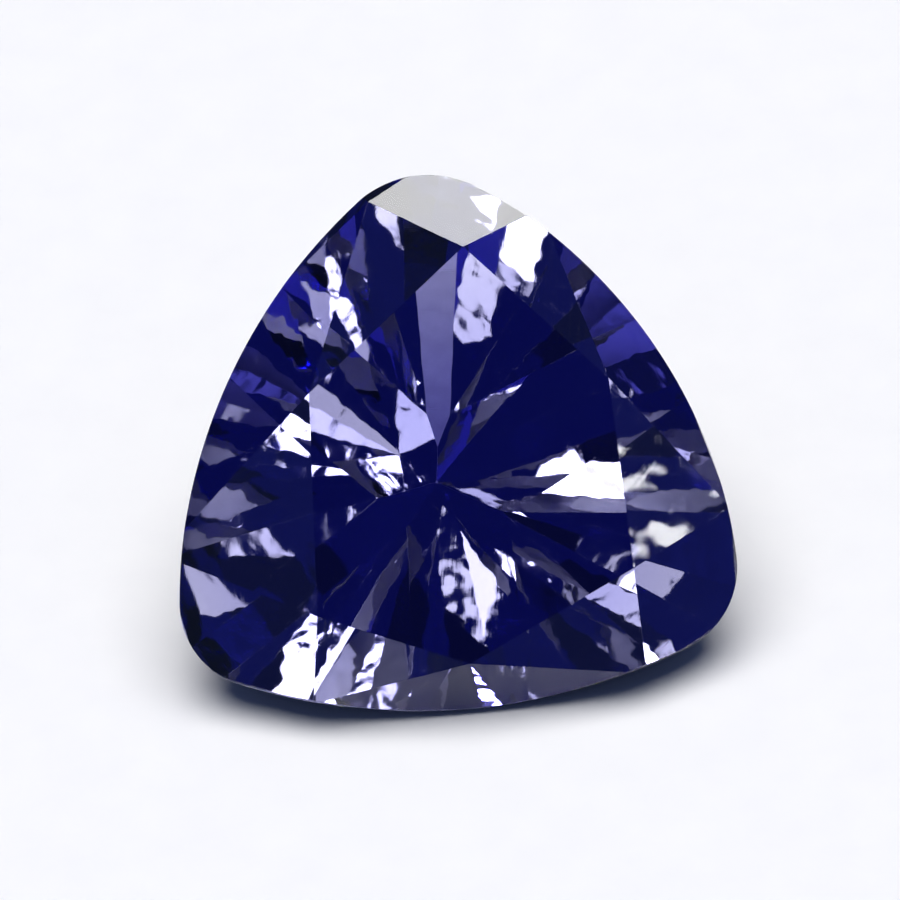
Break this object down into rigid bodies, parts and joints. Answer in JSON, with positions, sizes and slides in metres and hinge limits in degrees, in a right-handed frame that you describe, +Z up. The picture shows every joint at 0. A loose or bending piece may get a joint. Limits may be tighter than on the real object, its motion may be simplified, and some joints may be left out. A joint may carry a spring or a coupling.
{
  "type": "faceted iolite gemstone",
  "caption": "Loose trillion-cut iolite: a rounded triangle with bowed sides, a flat table and a deep faceted pavilion, see-through dark violet blue, lying on one pavilion face.",
  "frame": {"origin": "on the surface that the stone lies on, under the middle of its bounding box", "axes": "+Z up, out of the surface; +X to the stone's right as it is seen over the table; the table faces -Y and up, about half way between the two, and the pavilion's point is at +Y"},
  "size_m": [0.0102, 0.007, 0.0073],
  "materials": {
    "iolite": "clear dark violet-blue crystal, bright polished facets, finely ground girdle"
  },
  "bodies": {
    "root": {"iolite_stone": "iolite"}
  },
  "joints": []
}
